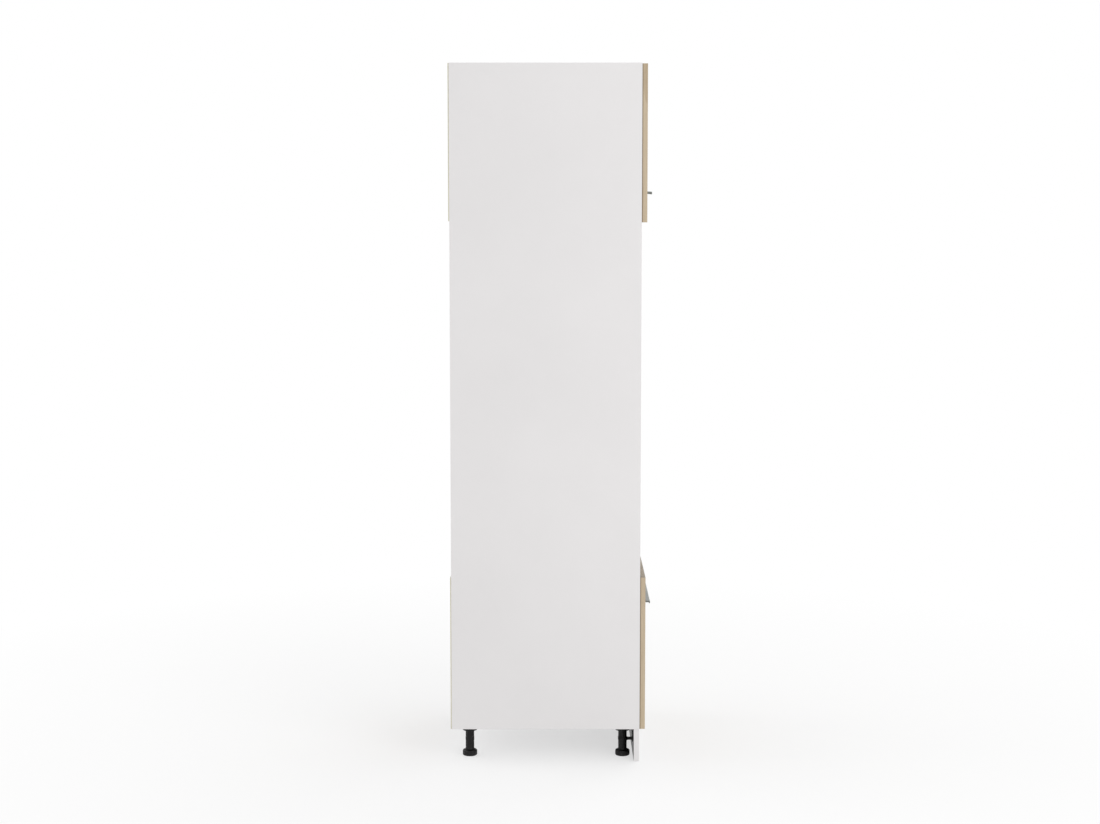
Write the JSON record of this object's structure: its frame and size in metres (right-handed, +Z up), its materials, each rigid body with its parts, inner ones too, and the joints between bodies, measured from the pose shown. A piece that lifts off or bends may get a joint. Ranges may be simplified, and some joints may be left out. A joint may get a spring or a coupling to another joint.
{
  "type": "tall oven housing unit",
  "caption": "Tall kitchen unit with an open oven niche and compact niche, a drawer below and a lift-up flap above, on adjustable legs with a clip-on plinth.",
  "frame": {"origin": "centre of the bounding box's footprint, on the floor under the feet", "axes": "+X across the unit, fronts face -Y, +Z up"},
  "size_m": [0.6, 0.6, 2.07],
  "materials": {
    "white_board": "white melamine on chipboard, fine satin",
    "oak_board": "light oak decor with vertical grain, matching edge band",
    "grey_board": "light melamine on chipboard",
    "hardboard": "thin hardboard, white lacquer inside and bare brown edge",
    "handle_metal": "brushed metal profile",
    "zinc_steel": "bright zinc plate",
    "hinge_steel": "nickel plated steel",
    "runner_white": "white powder coat",
    "wheel_plastic": "moulded nylon",
    "leg_plastic": "black moulded plastic",
    "strut_tube_paint": "black lacquered steel",
    "strut_rod_steel": "polished rod with black end fitting"
  },
  "bodies": {
    "carcass": {"side_panel_left": "white_board", "side_panel_right": "white_board", "bottom_panel": "white_board", "oven_shelf": "white_board", "niche_shelf": "white_board", "upper_shelf": "white_board", "top_panel": "white_board", "back_panel_lower": "hardboard", "back_panel_upper": "hardboard", "wall_brackets": "zinc_steel", "leg_plates": "leg_plastic", "leg_tubes": "leg_plastic", "plinth_board": "white_board", "plinth_clips": "leg_plastic", "runner_rail_left": "runner_white", "runner_rail_right": "runner_white", "hinge_arm_left": "hinge_steel", "hinge_arm_right": "hinge_steel", "hinge_plates": "hinge_steel", "strut_seats": "zinc_steel"},
    "foot_front_left": {"foot_front_left": "leg_plastic"},
    "foot_front_right": {"foot_front_right": "leg_plastic"},
    "foot_rear_left": {"foot_rear_left": "leg_plastic"},
    "foot_rear_right": {"foot_rear_right": "leg_plastic"},
    "cabinet_wheels": {"cabinet_wheels": "wheel_plastic"},
    "drawer": {"drawer_front": "oak_board", "drawer_handle": "handle_metal", "drawer_handle_screws": "zinc_steel", "drawer_side_left": "runner_white", "drawer_side_right": "runner_white", "drawer_floor": "grey_board", "drawer_back": "grey_board", "gallery_rail_left": "runner_white", "gallery_rail_right": "runner_white", "gallery_holders": "wheel_plastic", "front_fixings": "zinc_steel"},
    "drawer_wheels": {"drawer_wheels": "wheel_plastic"},
    "flap": {"flap_front": "oak_board", "flap_handle": "handle_metal", "flap_handle_screws": "zinc_steel", "hinge_cups": "hinge_steel", "strut_angle_left": "zinc_steel", "strut_angle_right": "zinc_steel"},
    "hinge_links": {"hinge_links": "hinge_steel"},
    "strut_cylinders": {"strut_cylinder_left": "strut_tube_paint", "strut_cylinder_right": "strut_tube_paint"},
    "strut_rods": {"strut_rod_left": "strut_rod_steel", "strut_rod_right": "strut_rod_steel"}
  },
  "joints": [
    {"name": "link_swing", "type": "hinge", "parent": "carcass", "child": "hinge_links", "pos_m": [0, -0.2723, 2.034], "axis": [-1, 0, 0], "range_deg": [-30, 0]},
    {"name": "flap_turn", "type": "hinge", "parent": "hinge_links", "child": "flap", "pos_m": [0, -0.269, 2.057], "axis": [-1, 0, 0], "range_deg": [0, 120]},
    {"name": "strut_tilt", "type": "hinge", "parent": "carcass", "child": "strut_cylinders", "pos_m": [0, -0.199, 1.706], "axis": [-1, 0, 0], "range_deg": [-14.96, 0]},
    {"name": "strut_extend", "type": "slide", "parent": "strut_cylinders", "child": "strut_rods", "axis": [0, -0.1193, 0.9929], "range_m": [0, 0.0317]},
    {"name": "drawer_slide", "type": "slide", "parent": "carcass", "child": "drawer", "axis": [0, -1, 0], "range_m": [0, 0.395]},
    {"name": "cabinet_wheel_spin", "type": "hinge", "parent": "carcass", "child": "cabinet_wheels", "pos_m": [0, -0.227, 0.1518], "axis": [1, 0, 0], "range_deg": [0, 2264.2]},
    {"name": "drawer_wheel_spin", "type": "hinge", "parent": "drawer", "child": "drawer_wheels", "pos_m": [0, 0.191, 0.15], "axis": [1, 0, 0], "range_deg": [0, 2515.6]},
    {"name": "foot_height_front_left", "type": "slide", "parent": "carcass", "child": "foot_front_left", "axis": [0, 0, -1], "range_m": [0, 0.02]},
    {"name": "foot_height_front_right", "type": "slide", "parent": "carcass", "child": "foot_front_right", "axis": [0, 0, -1], "range_m": [0, 0.02]},
    {"name": "foot_height_rear_left", "type": "slide", "parent": "carcass", "child": "foot_rear_left", "axis": [0, 0, -1], "range_m": [0, 0.02]},
    {"name": "foot_height_rear_right", "type": "slide", "parent": "carcass", "child": "foot_rear_right", "axis": [0, 0, -1], "range_m": [0, 0.02]}
  ],
  "couplings": [
    {"joint": "link_swing", "follows": "flap_turn", "ratio": -0.24},
    {"joint": "strut_tilt", "follows": "flap_turn", "ratio": -0.12214},
    {"joint": "strut_extend", "follows": "flap_turn", "m_per_rad": 0.014902},
    {"joint": "cabinet_wheel_spin", "follows": "drawer_slide", "rad_per_m": 100},
    {"joint": "drawer_wheel_spin", "follows": "drawer_slide", "rad_per_m": 111.11}
  ]
}
